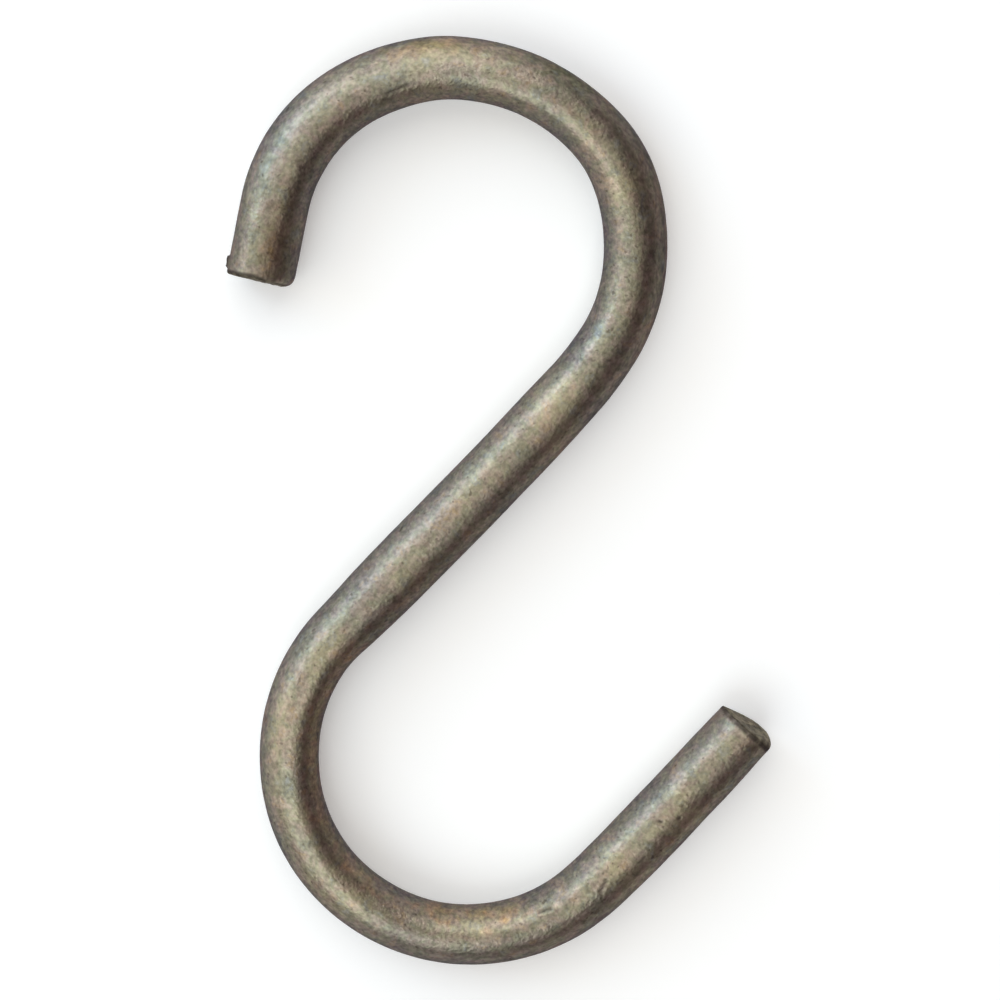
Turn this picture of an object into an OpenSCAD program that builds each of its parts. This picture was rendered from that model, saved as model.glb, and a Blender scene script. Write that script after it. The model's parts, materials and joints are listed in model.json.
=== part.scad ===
// S hook: one length of round wire with a hook bent at each end.
// It lies on its side, with the plane of the S level and the long way of the S along Y.
// The origin is under the middle of the outline, on the surface that the hook lies on.
// Every bend radius is to the middle of the wire, and every bend is a turn to the left,
// seen from above and walking outwards from the shank.

/* [Wire] */
// Diameter of the wire
wire_d = 5; // [4:0.1:6]

/* [Shank] */
// Straight length between the two hooks
shank_l = 25.6; // [20:0.1:32]
// Slope of the shank, in degrees up from X
shank_slope = 46; // [40:1:60]

/* [Upper hook] */
// Radius of the wide bend that leaves the shank
rise_r = 15.4; // [12:0.1:20]
// Turn of the wide bend, in degrees
rise_turn = 52; // [40:1:60]
// Radius of the tighter shoulder
shoulder_r = 10.9; // [8:0.1:14]
// Turn of the shoulder, in degrees
shoulder_turn = 33; // [20:1:40]
// Radius of the crown that hangs on a rail
crown_r = 14.4; // [12:0.1:18]
// Turn of the crown, in degrees
crown_turn = 76; // [60:1:85]
// Radius of the bend down to the tip
nose_r = 12.1; // [10:0.1:15]
// Turn of the bend down to the tip, in degrees
nose_turn = 51; // [30:1:60]
// Straight length of the short tip
tip_l = 5.6; // [3:0.1:8]

/* [Lower hook] */
// Radius of the bowl that carries the load
bowl_r = 14; // [12:0.1:18]
// Turn of the bowl, in degrees
bowl_turn = 181; // [165:1:190]
// Straight length of the long tail
tail_l = 16; // [8:0.1:20]

/* [Sheared ends] */
// Radius of the edge that the shear pressed over at the tip
tip_roll_r = 0.7; // [0.2:0.1:1]
// Lean of the cut at the tip, in degrees, where plus is longer underneath
tip_lean = -1; // [-6:1:6]
// Radius of the edge that the shear pressed over at the tail
tail_roll_r = 0.4; // [0.2:0.1:1]
// Lean of the cut at the tail, in degrees, where plus is longer underneath
tail_lean = 4; // [-6:1:6]
// Height of the burr that stands out from the tip
burr_h = 0.25; // [0.1:0.05:0.5]
// Length of the burr along the wire
burr_l = 1; // [0.5:0.1:2]
// Width of the burr round the wire, in degrees
burr_turn = 36; // [20:2:60]

/* [Hidden] */
$fn = 72;

// A sleeve over each join, a hair larger than the wire, makes the lengths one solid
sleeve_d = wire_d + 0.02;
sleeve_l = 0.4;
// Room outside the wire in the hollow of the blade that shapes an end
blade_slip = 0.02;
// Steps along a bend in which the reach of the outline is looked for
reach_steps = 60;

wire_r = wire_d / 2;

// Each hook from the shank outwards, as [radius, turn] for a bend
UPPER = [[rise_r, rise_turn], [shoulder_r, shoulder_turn], [crown_r, crown_turn], [nose_r, nose_turn]];
LOWER = [[bowl_r, bowl_turn]];

// A place on the middle of the wire is [x, y, heading]
function ahead(p, l) = [p[0] + l * cos(p[2]), p[1] + l * sin(p[2]), p[2]];
function round_bend(p, r, turn) = [
    p[0] + r * (sin(p[2] + turn) - sin(p[2])),
    p[1] - r * (cos(p[2] + turn) - cos(p[2])),
    p[2] + turn
];

// Where each bend of a hook starts, and last the place where its straight end starts
function starts(p, bends, i = 0) =
    i == len(bends)
        ? [p]
        : concat([p], starts(round_bend(p, bends[i][0], bends[i][1]), bends, i + 1));

upper_starts = starts(ahead([0, 0, shank_slope], shank_l / 2), UPPER);
lower_starts = starts(ahead([0, 0, shank_slope + 180], shank_l / 2), LOWER);
tip_end = ahead(upper_starts[len(UPPER)], tip_l);
tail_end = ahead(lower_starts[len(LOWER)], tail_l);

// Places all along a hook's bends
function along(bends, places) = [
    for (i = [0:len(bends) - 1], k = [0:reach_steps])
        round_bend(places[i], bends[i][0], bends[i][1] * k / reach_steps)
];
middle_line = concat(along(UPPER, upper_starts), along(LOWER, lower_starts), [tip_end, tail_end]);

// The burr is on the right of the tip, seen walking outwards
burr_top = [
    tip_end[0] + (wire_r + burr_h) * sin(tip_end[2]),
    tip_end[1] - (wire_r + burr_h) * cos(tip_end[2])
];

// The outline's least and most along X and Y, with the wire's own width
side_x = [for (p = middle_line) wire_r * abs(sin(p[2]))];
side_y = [for (p = middle_line) wire_r * abs(cos(p[2]))];
rows = [0:len(middle_line) - 1];
min_x = min(burr_top[0], min([for (i = rows) middle_line[i][0] - side_x[i]]));
max_x = max(burr_top[0], max([for (i = rows) middle_line[i][0] + side_x[i]]));
min_y = min([for (i = rows) middle_line[i][1] - side_y[i]]);
max_y = max([for (i = rows) middle_line[i][1] + side_y[i]]);

// Draws what follows at a place, with the wire's way out along X
module at_place(p) {
    translate([p[0], p[1], 0])
        rotate([0, 0, p[2]])
            children();
}

// A straight length of wire from the place outwards
module straight(l) {
    rotate([0, 90, 0])
        cylinder(d = wire_d, h = l);
}

// A bend to the left, with the sleeve over its join to the length before it
module bend(r, turn) {
    translate([0, r, 0])
        rotate_extrude(angle = turn, start = -90)
            translate([r, 0])
                circle(d = wire_d);
    sleeve();
}

module sleeve() {
    rotate([0, 90, 0])
        cylinder(d = sleeve_d, h = sleeve_l, center = true);
}

// What a shear takes off past the cut at the origin, with a hollow that leaves the
// wire a rounded edge of radius roll_r on its left side and a sharp one on its right
module blade(roll_r) {
    hollow_r = wire_r + roll_r / 2 + blade_slip;
    difference() {
        translate([-roll_r, 0, 0])
            rotate([0, 90, 0])
                cylinder(r = wire_d, h = wire_d);
        translate([0, -roll_r / 2, 0])
            rotate([0, -90, 0])
                rotate_extrude() {
                    square([hollow_r - roll_r, roll_r * 2]);
                    translate([0, roll_r])
                        square([hollow_r, roll_r]);
                    translate([hollow_r - roll_r, roll_r])
                        intersection() {
                            circle(r = roll_r);
                            translate([0, -roll_r])
                                square([roll_r, roll_r]);
                        }
                }
    }
}

// The straight end of a hook, sheared off at length l, with the sleeve over its join to the last bend.
// The edge is pressed over on the left, or on the right where roll_to is 180.
module sheared_end(l, roll_r, lean, roll_to) {
    difference() {
        straight(l + wire_r);
        translate([l, 0, 0])
            rotate([0, -lean, 0])
                rotate([roll_to, 0, 0])
                    blade(roll_r);
    }
    sleeve();
}

// The sliver that the shear left on the right side of the tip
module burr() {
    fin_top = wire_r + burr_h;
    translate([tip_l - tip_roll_r / 2, 0, 0])
        rotate([0, -90, 0])
            rotate_extrude(angle = burr_turn, start = -90 - burr_turn / 2)
                polygon([
                    [wire_r - burr_h, 0],
                    [fin_top, burr_h / 2],
                    [fin_top, burr_l - burr_h / 2],
                    [wire_r - burr_h, burr_l]
                ]);
}

module hook_bends(bends, places) {
    for (i = [0:len(bends) - 1])
        at_place(places[i])
            bend(bends[i][0], bends[i][1]);
}

module hook() {
    color([0.55, 0.51, 0.43])
        translate([-(min_x + max_x) / 2, -(min_y + max_y) / 2, wire_r]) {
            at_place([-shank_l / 2 * cos(shank_slope), -shank_l / 2 * sin(shank_slope), shank_slope])
                straight(shank_l);
            hook_bends(UPPER, upper_starts);
            at_place(upper_starts[len(UPPER)]) {
                sheared_end(tip_l, tip_roll_r, tip_lean, 0);
                burr();
            }
            hook_bends(LOWER, lower_starts);
            at_place(lower_starts[len(LOWER)])
                sheared_end(tail_l, tail_roll_r, tail_lean, 180);
        }
}

hook();
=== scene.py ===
# S hook: one bent length of plated wire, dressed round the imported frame,
# on a pale floor under soft studio light.
import json
import math
import bpy
import bmesh
from mathutils import Matrix, Vector, noise


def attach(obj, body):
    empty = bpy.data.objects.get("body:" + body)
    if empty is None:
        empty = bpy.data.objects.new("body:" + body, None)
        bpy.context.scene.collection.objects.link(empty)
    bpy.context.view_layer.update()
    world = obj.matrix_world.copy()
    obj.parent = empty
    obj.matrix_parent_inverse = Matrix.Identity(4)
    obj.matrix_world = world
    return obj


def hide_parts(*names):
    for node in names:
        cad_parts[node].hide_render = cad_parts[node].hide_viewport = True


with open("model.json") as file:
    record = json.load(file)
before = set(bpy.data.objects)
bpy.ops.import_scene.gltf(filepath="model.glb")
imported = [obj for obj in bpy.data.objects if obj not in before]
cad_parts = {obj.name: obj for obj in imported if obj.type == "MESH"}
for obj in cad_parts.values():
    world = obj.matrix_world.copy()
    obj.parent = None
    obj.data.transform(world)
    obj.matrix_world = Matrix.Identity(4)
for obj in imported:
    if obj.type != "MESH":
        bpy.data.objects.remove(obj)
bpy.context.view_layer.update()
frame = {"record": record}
mm = 0.001
tailPin = next(m for m in frame["record"]["mounts"] if m["name"] == "tail_pin")
radius = tailPin["dims"]["r_mm"]
print("frame loaded, wire radius in mm", radius)

# The wire from its sheared tail to its sheared tip, in mm and degrees. Left is plus, seen from
# above and walking from the tail to the tip. A place is given along the wire from the tail, and
# round it from its left side over the top.
wire = {
    # straight lengths, and bends as radius and turn
    "tail": 16.0,
    "bowl": (14.0, -181),
    "shank": 25.6,
    "rise": (15.4, 52),
    "shoulder": (10.9, 33),
    "crown": (14.4, 76),
    "nose": (12.1, 51),
    "tip": 5.6,

    # bending has pressed it narrower in the plane of the S, by this share of its width on these
    # stretches, and it takes a length to set in and another to fade out
    "pressed": {
        "bowl": {"share": 0.11, "from": 11.0, "to": 67.0, "in": 22.0, "out": 10.0},
        "rise": {"share": 0.058, "from": 81.0, "to": 135.0, "in": 11.0, "out": 14.0},
        "crown": {"share": 0.048, "from": 102.0, "to": 126.0, "in": 7.0, "out": 14.0},
    },

    # in a bend the metal swells on the inner side and thins on the outer one, and the straight
    # ends lean a little of their own
    "swell": {
        "share": 0.6,  # of the wire's radius over the bend's
        "length": 5.0,  # evens it out along the wire
        "ends": -0.08,
        "tailGone": 18.0,  # from the tail's end
        "tailFade": 8.0,
        "tipBegun": 8.0,  # from the tip's end
        "tipFade": 6.0,
    },

    # small sways to one side: place, size and length
    "sways": {
        "tail": (17.0, -0.10, 2.5),
        "bowl": (29.0, 0.06, 6.0),
        "bowlSide": (49.0, -0.055, 4.0),
        "bowlEnd": (59.0, 0.08, 2.8),
        "shank": (75.0, -0.10, 8.0),
        "riseStart": (88.0, 0.08, 2.3),
        "rise": (94.0, -0.13, 4.0),
        "shoulder": (105.0, -0.055, 3.5),
        "crown": (119.0, -0.07, 2.3),
    },

    # unevenness left by drawing, bending and plating: wavelength and height
    "relief": {
        "waves": (5.0, 0.035),
        "dimples": (1.3, 0.011),
        "sand": (0.45, 0.004),
    },

    # knocks from handling: the places of both ends, then the width, the depth and the height of
    # the metal pushed up beside it
    "knocks": {
        "bowlNick": ((21.90, 125.5), (20.90, 121.5), 0.13, 0.08, 0.04),
        "tailScratch": ((16.85, 91.4), (15.85, 100.1), 0.13, 0.05, 0.02),
        "tailPit": ((9.75, 101), (9.8, 104), 0.15, 0.06, 0.015),
        "smallPit": ((8.6, 83), (8.7, 83), 0.12, 0.04, 0.01),
        "smallerPit": ((7.7, 93), (7.8, 93), 0.10, 0.04, 0.01),
        "crownScratch": ((123.6, 66), (121.8, 70), 0.15, 0.03, 0.0),
    },
    "knockShape": {
        "reach": 2.0,
        "rimAt": 1.9,  # away from the knock's line, in widths of the knock
        "rimWidth": 0.8,
        # soot and painted shade round a knock, in widths of the knock
        "sootAndShadeWidth": 0.9,
    },

    # stains in the plating, and patches of painted highlight and painted shade: the place of the
    # middle, half the length and half the width, and what the plating's colour is multiplied by
    "stainsAndPaintedLight": {
        "tanCrown": ((120.0, 138), (2.6, 0.7), (1.12, 1.03, 0.82)),
        "rustBowl": ((30.6, 160), (1.5, 0.8), (1.14, 0.98, 0.80)),
        "rustBowlMiddle": ((27.0, 157), (1.3, 0.7), (1.13, 1.00, 0.84)),
        "rustBowlEnd": ((24.4, 150), (1.3, 0.7), (1.14, 1.02, 0.84)),
        "oliveNose": ((111.2, 148), (2.0, 0.8), (0.92, 0.98, 0.78)),
        # painted shade with a brown cast on the bowl's flank
        "paintedShadeBowl": ((47.5, 143), (10.0, 0.8), (0.97, 0.83, 0.72)),
        # rubbed plating where the load sits, lightened further as painted highlight
        "wearAndHighlightBowl": ((26.5, 147), (9.0, 1.3), (1.38, 1.34, 1.26)),
        # rubbed plating on the crown's seat, lightened further as painted highlight
        "wearAndHighlightCrown": ((118.0, 146), (7.0, 0.9), (1.22, 1.18, 1.16)),
        # painted bluish-grey highlight on the crown
        "paintedHighlightCrown": ((118.5, 84), (6.0, 0.6), (1.17, 1.22, 1.31)),
        # painted bluish-white highlight along the tail
        "paintedHighlightTail": ((7.0, 141), (8.0, 0.7), (1.08, 1.12, 1.20)),
        # painted highlight on the rise
        "paintedHighlightRise": ((92.0, 54), (8.0, 1.1), (1.22, 1.22, 1.20)),
        # painted shade on the shoulder
        "paintedShadeShoulder": ((102.0, 136), (12.0, 1.3), (0.70, 0.70, 0.72)),
        # painted shade on the nose
        "paintedShadeNose": ((129.5, 74), (5.0, 0.7), (0.86, 0.81, 0.83)),
        "brownTip": ((138.5, 80), (3.0, 0.9), (0.83, 0.78, 0.70)),
    },
    "stainAndLightShape": {
        "reach": 3,  # in sizes of the patch
        "wavesPerMm": 1.3,
        "slice": 11,  # each noise is taken at a depth of its own
        "ragged": 1.4,
        "raggedLeast": 0.3,
    },

    "tailCut": {
        "roll": 0.85,  # radius of the edge that the shear pressed over
        "side": 1,  # which side that edge is on
        "drawn": 0.16,  # how far the wire was pulled in beside it
        "edge": 0.10,  # the rounding all round
        "lean": 3.0,  # longer underneath with plus
        "skew": 6.5,  # longer on the left with plus
        "twist": 0.08,  # turns its lower half further
        "back": -0.06,  # sets the whole cut back, or forward with minus
        "rough": 0.05,  # the torn face
        "burr": 0.0,  # the lip opposite the pressed edge
        "burrLength": 0.8,
        "bare": 1.2,  # how far the torn face reaches over the pressed edge, as a share of roll
        "sootAndShadeWidth": 0.27,  # soot and painted shade lie in blots along the border of the torn face
        "sootAndShadeInside": 0.16,
        "sootAndShadeCover": 1.0,
    },
    "tipCut": {
        "roll": 0.90,
        "side": 1,
        "drawn": 0.0,
        "edge": 0.22,
        "lean": 5.0,
        "skew": 1.5,
        "twist": 0.0,
        "back": -0.08,
        "rough": 0.04,
        "burr": 0.17,
        "burrLength": 1.25,
        "bare": 0.45,
        "sootAndShadeWidth": 0.10,
        "sootAndShadeInside": 0.20,
        "sootAndShadeCover": 1.25,
    },
    "bothCuts": {
        "flatMargin": 0.02,  # keeps the pressed edge clear of the rim on the other side
        "drawnLength": 5.5,
        "drawnFade": 5.0,
        "burrStart": 0.18,  # from the cut
        "burrRise": 0.14,
        "burrFade": 0.12,
        "burrSpread": 0.25,  # round the wire, in radians
        "burrRagged": 0.4,
        "burrWaves": (3, 6),  # per mm along the wire, per radian round it
        "burrSlice": 7,
        "burrBlack": 0.12,  # a lip this high is all soot and painted shade
        "tornTo": 0.93,  # of the wire's radius, past which the shear left a smooth lip
        "tornFade": 0.4,
        "tornCoarse": (2.2, 3, 1.6),  # waves per mm, slice of the noise, share
        "tornFine": (6, 5, 0.8),
        "sootAndShadeWaves": 5,
        "sootAndShadeSlice": 13,
        "sootAndShadeUneven": 2.0,
        "sootAndShadeSpread": 1.4,  # on the wire's side, in widths of the soot and shade
        "bareFade": 0.1,
        "sideFade": 6,  # the power by which the side's unevenness dies away on a cut
    },

    # the mesh is a row of rings, closer together beside a knock and near an end
    "rings": {
        "pointsRound": 96,
        "gap": 0.175,
        "fineGap": 0.08,
        "lastGap": 0.6,  # the last gap is more than this share of the usual one
        "nearKnock": 0.9,
        "nearEnd": 1.3,
        "turnLength": 3.0,  # over which the rings turn to follow a cut
        "onCut": 16,  # steps from the rim of a cut to its middle
        "sharpAngle": 55,  # an edge that turns more than this is shaded sharp
    },
}


def wireStretches():
    # each straight length or bend as a length and a curve, which is 1 over the bend's radius
    def bend(bendRadius, turn):
        angle = math.radians(turn)
        return bendRadius * abs(angle), math.copysign(1 / bendRadius, angle)
    return [
        (wire["tail"], 0.0),
        bend(*wire["bowl"]),
        (wire["shank"], 0.0),
        bend(*wire["rise"]),
        bend(*wire["shoulder"]),
        bend(*wire["crown"]),
        bend(*wire["nose"]),
        (wire["tip"], 0.0),
    ]


def ahead(place, length, curve):
    x, y, heading = place
    if curve == 0:
        return x + length * math.cos(heading), y + length * math.sin(heading), heading
    turned = heading + length * curve
    return (
        x + (math.sin(turned) - math.sin(heading)) / curve,
        y - (math.cos(turned) - math.cos(heading)) / curve,
        turned,
    )


# The walk starts at the tail's end, half a tail out from the mount at its middle.
pinAxis = Vector(tailPin["axis"])
tailEnd = Vector(tailPin["pos_m"]) / mm + pinAxis * wire["tail"] / 2
stretches = []
place = (tailEnd.x, tailEnd.y, math.atan2(pinAxis.y, pinAxis.x) + math.pi)
wireLength = 0.0
for length, curve in wireStretches():
    stretches.append((wireLength, length, curve, place))
    place = ahead(place, length, curve)
    wireLength += length
print("wire length in mm", round(wireLength, 2), "tip at", [round(c, 3) for c in place])


def placeAt(along):
    for start, length, curve, at in stretches:
        if along <= start + length or start == stretches[-1][0]:
            return ahead(at, along - start, curve)


def smooth(t):
    t = min(max(t, 0.0), 1.0)
    return t * t * (3 - 2 * t)


def narrowing(along):
    share = 0.0
    for press in wire["pressed"].values():
        setIn = smooth((along - press["from"]) / press["in"])
        notFaded = smooth((press["to"] - along) / press["out"])
        share += press["share"] * setIn * notFaded
    return 1 - share


def swayAt(along):
    sways = wire["sways"].values()
    return sum(size * math.exp(-((along - middle) / length) ** 2) for middle, size, length in sways)


def leanAt(along):
    # how far the section leans to the inside of the bend: it follows the mean curve round here
    swell = wire["swell"]
    low, high = along - swell["length"] / 2, along + swell["length"] / 2
    bent = 0.0
    for start, length, curve, at in stretches:
        bent += curve * max(min(start + length, high) - max(start, low), 0)
    nearTail = smooth((swell["tailGone"] - along) / swell["tailFade"])
    nearTip = smooth((along - wireLength + swell["tipBegun"]) / swell["tipFade"])
    return swell["share"] * radius * bent / swell["length"] + swell["ends"] * (nearTail + nearTip)


def reliefAt(along, turn):
    spot = Vector((along, radius * math.cos(turn), radius * math.sin(turn)))
    return sum(height * noise.noise(spot / size) for size, height in wire["relief"].values())


def knockAt(along, turn):
    # how far the knocks lift the surface here or let it down, and how much soot and painted shade
    # lie in them
    shape = wire["knockShape"]
    lift = 0.0
    sootAndShade = 0.0
    for (a, turnA), (b, turnB), width, depth, rim in wire["knocks"].values():
        if abs(along - (a + b) / 2) > shape["reach"]:
            continue
        start = Vector((a, radius * math.radians(turnA)))
        line = Vector((b, radius * math.radians(turnB))) - start
        here = Vector((along, radius * turn)) - start
        share = min(max(here.dot(line) / line.length_squared, 0), 1)
        away = (here - line * share).length / width
        pushedUp = rim * math.exp(-((away - shape["rimAt"]) / shape["rimWidth"]) ** 2)
        lift += pushedUp - depth * math.exp(-away ** 2)
        sootAndShade = max(sootAndShade, math.exp(-(away / shape["sootAndShadeWidth"]) ** 2))
    return lift, sootAndShade


def stainAndLightAt(along, turn):
    shape = wire["stainAndLightShape"]
    waves = shape["wavesPerMm"]
    tint = [1.0, 1.0, 1.0]
    for (middle, turnMiddle), (halfLength, halfWidth), colour in wire["stainsAndPaintedLight"].values():
        a = (along - middle) / halfLength
        b = radius * (turn - math.radians(turnMiddle)) / halfWidth
        if a * a + b * b > shape["reach"] ** 2:
            continue
        uneven = noise.noise(Vector((along * waves, turn * radius * waves, shape["slice"])))
        ragged = max(1 + shape["ragged"] * uneven, shape["raggedLeast"])
        share = math.exp(-(a * a + b * b) * ragged)
        tint = [t * (1 + share * (c - 1)) for t, c in zip(tint, colour)]
    return Vector(tint)


def burrAt(cut, fromEnd, turn):
    # a torn flake that stands out on the side away from the pressed edge, just short of the cut
    both = wire["bothCuts"]
    wavesAlong, wavesRound = both["burrWaves"]
    opposite = math.pi if cut["side"] > 0 else 0.0
    off = (turn - opposite + math.pi) % (2 * math.pi) - math.pi
    uneven = noise.noise(Vector((fromEnd * wavesAlong, turn * wavesRound, both["burrSlice"])))
    ragged = 1 + both["burrRagged"] * uneven
    along = smooth((cut["burrLength"] - fromEnd) / both["burrFade"])
    along *= smooth((fromEnd - both["burrStart"]) / both["burrRise"])
    return cut["burr"] * ragged * math.exp(-(off / both["burrSpread"]) ** 2) * along


def drawnAt(cut, fromEnd, turn):
    # the wire pulled in beside the pressed edge, fading out along it
    both = wire["bothCuts"]
    share = smooth((both["drawnLength"] - fromEnd) / both["drawnFade"])
    return cut["drawn"] * share * max(cut["side"] * math.cos(turn), 0) ** 2


def sideLift(along, turn):
    # how far the side of the wire stands out here, and how much soot and painted shade it carries
    lift, sootAndShade = knockAt(along, turn)
    lift += reliefAt(along, turn)
    tail, tip = wire["tailCut"], wire["tipCut"]
    lift -= drawnAt(tail, along, turn) + drawnAt(tip, wireLength - along, turn)
    burr = burrAt(tail, along, turn) + burrAt(tip, wireLength - along, turn)
    return lift + burr, max(sootAndShade, min(burr / wire["bothCuts"]["burrBlack"], 1))


def pastFlat(cut, across, up):
    # how far out on the pressed edge a point of the wire's section lies
    flat = radius - cut["roll"] / 2 + wire["bothCuts"]["flatMargin"]
    return math.hypot(across * cut["side"] + cut["roll"] / 2, up) - flat


def endReach(cut, across, up):
    # how far the metal reaches past the nominal end at a point of the wire's section
    leant = math.tan(math.radians(cut["lean"]))
    skewed = math.tan(math.radians(cut["skew"]))
    reach = -up * leant + across * skewed - cut["back"]
    reach += cut["twist"] * across * max(-up, 0)
    rim = math.hypot(across, up) - radius + cut["edge"]
    for past, bend in ((pastFlat(cut, across, up), cut["roll"]), (rim, cut["edge"])):
        if past > 0:
            reach += math.sqrt(max(bend ** 2 - min(past, bend) ** 2, 0)) - bend
    return reach


def tornFace(cut, across, up):
    # the shear leaves a smooth lip and then a coarse torn grain
    both = wire["bothCuts"]
    torn = smooth((radius * both["tornTo"] - math.hypot(across, up)) / both["tornFade"])
    grain = 0.0
    for waves, depth, share in (both["tornCoarse"], both["tornFine"]):
        grain += share * noise.noise(Vector((across * waves, up * waves, depth)))
    return torn * cut["rough"] * grain


def faceMarks(cut, turn, inward):
    # soot with painted shade, and bareness on a cut: the torn face ends at the rim, or before it on
    # the pressed edge
    both = wire["bothCuts"]
    across, up = radius * math.cos(turn), radius * math.sin(turn)
    border = min(cut["bare"] * cut["roll"], pastFlat(cut, across, up))
    inAcross, inUp = radius * inward * math.cos(turn), radius * inward * math.sin(turn)
    past = pastFlat(cut, inAcross, inUp) - border
    width = cut["sootAndShadeWidth"] / 2 if past > 0 else cut["sootAndShadeInside"]
    waves = both["sootAndShadeWaves"]
    uneven = noise.noise(Vector((math.cos(turn) * waves, math.sin(turn) * waves, both["sootAndShadeSlice"])))
    blots = smooth(cut["sootAndShadeCover"] + both["sootAndShadeUneven"] * uneven)
    return math.exp(-abs(past) / width) * blots, 1 - smooth(past / both["bareFade"])


def surfacePoint(along, turn, inward, lift):
    # inward is 1 on the side of the wire and falls to 0 at the middle of a cut
    x, y, heading = placeAt(along)
    out = radius * inward + lift
    across = out * math.cos(turn) * narrowing(along) + swayAt(along)
    lean = leanAt(along)
    up = out * math.sin(turn) * (1 + lean * inward * math.cos(turn)) / (1 + lean ** 2 / 2)
    return Vector((x - across * math.sin(heading), y + across * math.cos(heading), radius + up))


def ringPlaces():
    rings = wire["rings"]
    knockMiddles = [(knock[0][0] + knock[1][0]) / 2 for knock in wire["knocks"].values()]
    places = [0.0]
    while places[-1] < wireLength - rings["gap"] * rings["lastGap"]:
        here = places[-1]
        close = any(abs(here - middle) < rings["nearKnock"] for middle in knockMiddles)
        close = close or min(here, wireLength - here) < rings["nearEnd"]
        places.append(here + (rings["fineGap"] if close else rings["gap"]))
    places[-1] = wireLength
    return places


def buildWire():
    rings, both = wire["rings"], wire["bothCuts"]
    count = rings["pointsRound"]
    turns = [2 * math.pi * k / count for k in range(count)]
    mesh = bmesh.new()
    straightened = mesh.verts.layers.float_vector.new("straightened")
    sootAndShadeLayer = mesh.verts.layers.float.new("sootAndShade")
    cutFace = mesh.verts.layers.float.new("cutFace")
    stainAndLight = mesh.verts.layers.float_vector.new("stainAndLight")

    def addPoint(along, turn, inward, lift, sootAndShade, bare):
        vert = mesh.verts.new(surfacePoint(along, turn, inward, lift) * mm)
        across, up = radius * inward * math.cos(turn), radius * inward * math.sin(turn)
        vert[straightened] = Vector((along, across, up)) * mm
        vert[sootAndShadeLayer] = sootAndShade
        vert[cutFace] = bare
        vert[stainAndLight] = stainAndLightAt(along, turn)
        return vert

    def addSide():
        rim = [(radius * math.cos(turn), radius * math.sin(turn)) for turn in turns]
        tailReach = [endReach(wire["tailCut"], across, up) for across, up in rim]
        tipReach = [endReach(wire["tipCut"], across, up) for across, up in rim]
        grid = []
        for base in ringPlaces():
            nearTail = 1 - smooth(base / rings["turnLength"])
            nearTip = 1 - smooth((wireLength - base) / rings["turnLength"])
            fromEnd = min(base, wireLength - base)
            nearest = wire["tailCut"] if base == fromEnd else wire["tipCut"]
            sootAndShadeShare = smooth(both["sootAndShadeSpread"] - fromEnd / nearest["sootAndShadeWidth"])
            ring = []
            for k, turn in enumerate(turns):
                along = base - tailReach[k] * nearTail + tipReach[k] * nearTip
                lift, sootAndShade = sideLift(base, turn)
                sootAndShade = max(sootAndShade, sootAndShadeShare * faceMarks(nearest, turn, 1)[0])
                ring.append(addPoint(along, turn, 1, lift, sootAndShade, 0))
            grid.append(ring)
        for a, b in zip(grid, grid[1:]):
            for k in range(count):
                n = (k + 1) % count
                mesh.faces.new((a[k], a[n], b[n], b[k]))
        return grid[0], grid[-1]

    def addCut(cut, rim, end, out):
        # rings shrink from the rim to the middle, and out is 1 at the tip and -1 at the tail
        last = rim
        for step in range(1, rings["onCut"]):
            inward = math.sin(math.pi / 2 * (1 - step / rings["onCut"]))
            ring = []
            for turn in turns:
                across, up = radius * inward * math.cos(turn), radius * inward * math.sin(turn)
                along = end + out * (endReach(cut, across, up) + tornFace(cut, across, up))
                lift = sideLift(end, turn)[0] * inward ** both["sideFade"]
                ring.append(addPoint(along, turn, inward, lift, *faceMarks(cut, turn, inward)))
            for k in range(count):
                n = (k + 1) % count
                corners = (last[k], last[n], ring[n], ring[k])
                mesh.faces.new(corners if out > 0 else corners[::-1])
            last = ring
        middle = addPoint(end + out * (endReach(cut, 0, 0) + tornFace(cut, 0, 0)), 0, 0, 0, 0, 1)
        for k in range(count):
            corners = (last[k], last[(k + 1) % count], middle)
            mesh.faces.new(corners if out > 0 else corners[::-1])

    tailRim, tipRim = addSide()
    addCut(wire["tailCut"], tailRim, 0.0, -1)
    addCut(wire["tipCut"], tipRim, wireLength, 1)
    data = bpy.data.meshes.new("bentWire")
    mesh.to_mesh(data)
    mesh.free()
    data.polygons.foreach_set("use_smooth", [True] * len(data.polygons))
    data.set_sharp_from_angle(angle=math.radians(rings["sharpAngle"]))
    made = bpy.data.objects.new("bentWire", data)
    bpy.context.collection.objects.link(made)
    return made


hook = buildWire()
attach(hook, "root")
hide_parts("hook")
print("wire built:", len(hook.data.vertices), "points")

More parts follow.
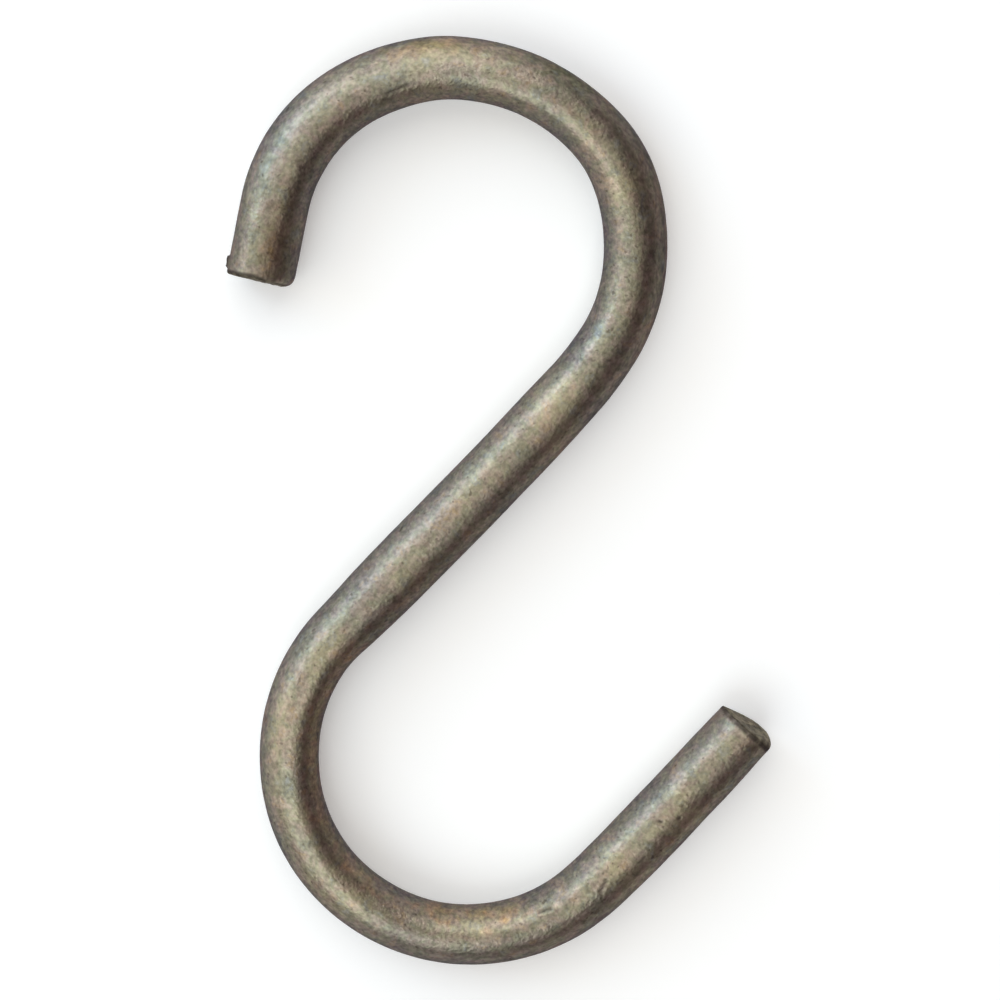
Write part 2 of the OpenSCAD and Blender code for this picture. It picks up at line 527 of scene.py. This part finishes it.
# The plating: sizes of its marks in mm, and how strongly each shows.
plating = {
    "colours": [
        (0.00, (0.268, 0.258, 0.220)),
        (0.30, (0.280, 0.260, 0.180)),
        (0.52, (0.302, 0.264, 0.200)),
        (0.75, (0.320, 0.261, 0.212)),
        (1.00, (0.338, 0.265, 0.176)),
    ],
    "tintSize": 1.0,
    "tintRange": (0.30, 0.70),  # of the noise, over which it runs through the colours
    "cloudSize": 4.5,
    "cloudStrength": 0.16,
    "cloudTint": (0.04, 0.0, -0.07),
    "mottleSize": 0.80,
    "mottleStrength": 0.20,
    "grainSize": 0.30,
    "grainStrength": 0.24,
    "streakSize": 0.30,
    "streakSquash": 0.22,  # of distances along the wire, so that the streaks are long
    "streakStrength": 0.04,
    "speckSize": 0.42,
    "speckRange": (0.66, 0.78),  # of the noise: higher leaves fewer specks
    "speckColour": (0.085, 0.065, 0.050),
    "speckCover": 0.6,
    "speckDepth": 0.15,
    # soot with painted shade, dark at the cut rims, in the knocks and on the burrs
    "sootAndShadeColour": (0.050, 0.038, 0.034),
    "sootAndShadeCover": 0.80,
    "sideShade": 0.48,  # painted shade: how far the sides are darkened
    "sideShadeFrom": 0.55,  # of the wire's radius, to either side
    "sideShadeTo": 1.1,
    "sideShadeSize": 0.38,
    "sideShadeUneven": 0.7,
    "sideShadeColour": (0.048, 0.044, 0.078),
    "cutColour": (0.250, 0.225, 0.155),
    "cutCover": 0.75,
    "cutSize": 0.45,
    "cutShades": (0.40, 1.55),
    "cutHeight": 0.5,
    "roughness": (0.37, 0.49),
    "roughnessSize": 0.7,
    "sootAndShadeRoughness": 0.12,  # more on soot and painted shade, and on a cut
    "sideRoughness": 0.20,  # more than on top
    "sideFrom": 0.5,
    "sideTo": 0.9,
    "bumpSize": 0.28,
    "bumpDetail": 1.0,
    "bumpHeight": 0.031,
    "edgeTint": (0.20, 0.20, 0.32),
}


def addNode(tree, kind, inputs=None, **settings):
    made = tree.nodes.new(kind)
    for name, value in settings.items():
        setattr(made, name, value)
    for name, value in (inputs or {}).items():
        socket = made.inputs[name]
        if isinstance(value, bpy.types.NodeSocket):
            tree.links.new(value, socket)
        else:
            socket.default_value = value
    return made


def attribute(tree, name, output):
    return addNode(tree, "ShaderNodeAttribute", attribute_name=name).outputs[output]


def mottle(tree, coords, size, detail=2.0, rough=0.5, warp=0.0):
    # noise between 0 and 1, with its wavelength in mm
    inputs = {
        "Vector": coords,
        "Scale": 1 / size,
        "Detail": detail,
        "Roughness": rough,
        "Distortion": warp,
    }
    return addNode(tree, "ShaderNodeTexNoise", inputs).outputs["Fac"]


def spread(tree, value, low, high, newLow=0.0, newHigh=1.0):
    inputs = {"Value": value, "From Min": low, "From Max": high, "To Min": newLow, "To Max": newHigh}
    return addNode(tree, "ShaderNodeMapRange", inputs).outputs["Result"]


def swing(tree, value, most=1.0):
    # noise lies mostly between these two, and comes out between minus and plus most
    return spread(tree, value, 0.25, 0.75, -most, most)


def times(tree, a, b):
    return addNode(tree, "ShaderNodeMath", {0: a, 1: b}, operation="MULTIPLY").outputs[0]


def plus(tree, a, b):
    return addNode(tree, "ShaderNodeMath", {0: a, 1: b}, operation="ADD").outputs[0]


def vectorMath(tree, operation, a, b):
    return addNode(tree, "ShaderNodeVectorMath", {0: a, 1: b}, operation=operation).outputs[0]


def scaled(tree, colour, amount):
    inputs = {0: colour, "Scale": amount}
    return addNode(tree, "ShaderNodeVectorMath", inputs, operation="SCALE").outputs[0]


def layered(tree, share, under, over):
    # one colour over another, by share
    node = addNode(tree, "ShaderNodeMix", {0: share}, data_type="RGBA")
    for index, colour in ((6, under), (7, over)):
        if isinstance(colour, bpy.types.NodeSocket):
            tree.links.new(colour, node.inputs[index])
        else:
            node.inputs[index].default_value = (*colour, 1)
    return node.outputs[2]


def colourRamp(tree, value, colours):
    ramp = addNode(tree, "ShaderNodeValToRGB", {"Fac": value})
    stops = ramp.color_ramp.elements
    while len(stops) < len(colours):
        stops.new(0.5)
    for stop, (at, colour) in zip(stops, colours):
        stop.position = at
        stop.color = (*colour, 1)
    return ramp.outputs["Color"]


def platedSteel():
    material = bpy.data.materials.new("platedSteel")
    material.use_nodes = True
    tree = material.node_tree
    shader = tree.nodes["Principled BSDF"]
    # the marks are laid out on the wire as if it were straight, in mm
    coords = scaled(tree, attribute(tree, "straightened", "Vector"), 1 / mm)
    drawn = vectorMath(tree, "MULTIPLY", coords, (plating["streakSquash"], 1, 1))
    sootAndShade = attribute(tree, "sootAndShade", "Fac")
    cut = attribute(tree, "cutFace", "Fac")

    tintNoise = mottle(tree, coords, plating["tintSize"], 3, 0.6, 0.3)
    tinted = colourRamp(tree, spread(tree, tintNoise, *plating["tintRange"]), plating["colours"])
    cloud = swing(tree, mottle(tree, coords, plating["cloudSize"]))
    blotch = swing(tree, mottle(tree, coords, plating["mottleSize"], 2, 0.55))
    grain = swing(tree, mottle(tree, coords, plating["grainSize"], 1))
    streak = swing(tree, mottle(tree, drawn, plating["streakSize"]))
    speck = spread(tree, mottle(tree, coords, plating["speckSize"], 1), *plating["speckRange"])

    stainAndLight = attribute(tree, "stainAndLight", "Vector")
    tone = plus(tree, times(tree, cloud, plating["cloudStrength"]), 1.0)
    tone = plus(tree, times(tree, blotch, plating["mottleStrength"]), tone)
    tone = plus(tree, times(tree, grain, plating["grainStrength"]), tone)
    tone = plus(tree, times(tree, streak, plating["streakStrength"]), tone)
    colour = scaled(tree, tinted, tone)
    shift = vectorMath(tree, "ADD", scaled(tree, plating["cloudTint"], cloud), stainAndLight)

    # painted shade to either side of the top, under the stains and painted light
    across = addNode(tree, "ShaderNodeSeparateXYZ", {"Vector": coords}).outputs["Y"]
    aside = addNode(tree, "ShaderNodeMath", {0: across}, operation="ABSOLUTE").outputs[0]
    uneven = mottle(tree, coords, plating["sideShadeSize"], 3, 0.6)
    uneven = swing(tree, uneven, plating["sideShadeUneven"])
    low, high = radius * plating["sideShadeFrom"], radius * plating["sideShadeTo"]
    sideShade = spread(tree, plus(tree, aside, uneven), low, high, 0, plating["sideShade"])
    colour = layered(tree, sideShade, colour, plating["sideShadeColour"])
    colour = vectorMath(tree, "MULTIPLY", colour, shift)

    # specks, then the bare metal of the cuts, then soot with painted shade
    colour = layered(tree, times(tree, speck, plating["speckCover"]), colour, plating["speckColour"])
    tornNoise = mottle(tree, coords, plating["cutSize"], 3, 0.6)
    torn = spread(tree, tornNoise, 0.35, 0.65, *plating["cutShades"])
    tornColour = scaled(tree, plating["cutColour"], torn)
    colour = layered(tree, times(tree, cut, plating["cutCover"]), colour, tornColour)
    colour = layered(tree, times(tree, sootAndShade, plating["sootAndShadeCover"]), colour, plating["sootAndShadeColour"])
    tree.links.new(colour, shader.inputs["Base Color"])

    dullNoise = mottle(tree, coords, plating["roughnessSize"], 3, 0.6)
    dull = spread(tree, dullNoise, 0.3, 0.7, *plating["roughness"])
    dull = plus(tree, times(tree, plus(tree, sootAndShade, cut), plating["sootAndShadeRoughness"]), dull)
    low, high = radius * plating["sideFrom"], radius * plating["sideTo"]
    dull = plus(tree, spread(tree, aside, low, high, 0, plating["sideRoughness"]), dull)
    tree.links.new(dull, shader.inputs["Roughness"])
    shader.inputs["Metallic"].default_value = 1.0
    shader.inputs["Specular Tint"].default_value = (*plating["edgeTint"], 1)

    # sandy all over, sunk at the specks and torn on the cuts
    height = mottle(tree, coords, plating["bumpSize"], plating["bumpDetail"])
    height = plus(tree, height, times(tree, speck, -plating["speckDepth"]))
    height = plus(tree, height, times(tree, times(tree, cut, torn), plating["cutHeight"]))
    inputs = {"Height": height, "Distance": plating["bumpHeight"] * mm, "Strength": 1.0}
    bump = addNode(tree, "ShaderNodeBump", inputs)
    tree.links.new(bump.outputs["Normal"], shader.inputs["Normal"])
    return material


hook.data.materials.append(platedSteel())
print("plating done")

studio = {
    "floorHalf": 3,  # half its width in m
    "floorColour": (0.85, 0.85, 0.85),
    "floorRoughness": 0.9,
    "floorGlow": 0.20,
    "airColour": (1.00, 0.62, 0.73),
    "air": 0.121,
    # zenith and azimuth in degrees, distance and diameter in m, power in W, colour
    "lamps": {
        "nearPanel": (39.0, 241.6, 1.0, 0.93, 4.48, (0.90, 0.99, 1.00)),
        "topPanel": (52.3, 102.3, 1.0, 1.42, 9.18, (0.96, 1.00, 0.97)),
        "window": (62.0, 186.7, 1.0, 0.97, 3.07, (1.00, 1.00, 0.89)),
        "cornerWindow": (68.9, 148.4, 1.0, 0.67, 3.31, (0.50, 0.73, 1.00)),
        "overhead": (4.0, 42.1, 1.0, 0.92, 1.16, (1.00, 0.98, 0.79)),
    },
}


def paleFloor():
    material = bpy.data.materials.new("paleFloor")
    material.use_nodes = True
    tree = material.node_tree
    shader = tree.nodes["Principled BSDF"]
    shader.inputs["Base Color"].default_value = (*studio["floorColour"], 1)
    shader.inputs["Roughness"].default_value = studio["floorRoughness"]
    shader.inputs["Specular IOR Level"].default_value = 0.0
    # its glow shows to the camera, in reflections and through glass, and lights nothing else
    rays = addNode(tree, "ShaderNodeLightPath").outputs
    seen = plus(tree, rays["Is Camera Ray"], rays["Is Glossy Ray"])
    seen = plus(tree, seen, rays["Is Transmission Ray"])
    tree.links.new(times(tree, seen, studio["floorGlow"]), shader.inputs["Emission Strength"])
    return material


half = studio["floorHalf"]
floorCorners = [(-half, -half, 0), (half, -half, 0), (half, half, 0), (-half, half, 0)]
floorMesh = bpy.data.meshes.new("floor")
floorMesh.from_pydata(floorCorners, [], [(0, 1, 2, 3)])
floor = bpy.data.objects.new("floor", floorMesh)
bpy.context.collection.objects.link(floor)
floor.data.materials.append(paleFloor())
print("floor laid")

world = bpy.data.worlds.new("studioAir")
bpy.context.scene.world = world
world.use_nodes = True
background = world.node_tree.nodes["Background"]
background.inputs["Color"].default_value = (*studio["airColour"], 1)
background.inputs["Strength"].default_value = studio["air"]

for name, (zenith, azimuth, distance, size, power, colour) in studio["lamps"].items():
    lamp = bpy.data.objects.new(name, bpy.data.lights.new(name, "AREA"))
    bpy.context.collection.objects.link(lamp)
    lamp.data.shape = "DISK"
    lamp.data.size = size
    lamp.data.energy = power
    lamp.data.color = colour
    slope, way = math.radians(zenith), math.radians(azimuth)
    out = Vector((math.sin(slope) * math.cos(way), math.sin(slope) * math.sin(way), math.cos(slope)))
    lamp.location = out * distance
    lamp.rotation_euler = out.to_track_quat("Z", "Y").to_euler()
print("studio lit")

# The camera looks down on the hook from this many mm away, leaning a little off straight above.
view = {
    "lookAt": (-0.30, 0.97),
    "away": 187.1,
    "leanRight": -0.0603,
    "leanUp": 0.1564,
    "lens": 90,
    "sensor": 36,
    "clip": (0.005, 50),  # in m
}
camera = bpy.data.objects.new("camera", bpy.data.cameras.new("camera"))
bpy.context.collection.objects.link(camera)
lookAt = Vector((*view["lookAt"], radius)) * mm
leanRight, leanUp = view["leanRight"], view["leanUp"]
back = Vector((leanRight, leanUp, math.sqrt(1 - leanRight ** 2 - leanUp ** 2)))
right = Vector((0, 1, 0)).cross(back).normalized()
facing = Matrix((right, back.cross(right), back)).transposed().to_4x4()
camera.matrix_world = Matrix.Translation(lookAt + back * view["away"] * mm) @ facing
camera.data.lens = view["lens"]
camera.data.sensor_width = view["sensor"]
camera.data.clip_start, camera.data.clip_end = view["clip"]
bpy.context.scene.camera = camera
bpy.context.scene.view_settings.view_transform = "Standard"
print("camera placed")
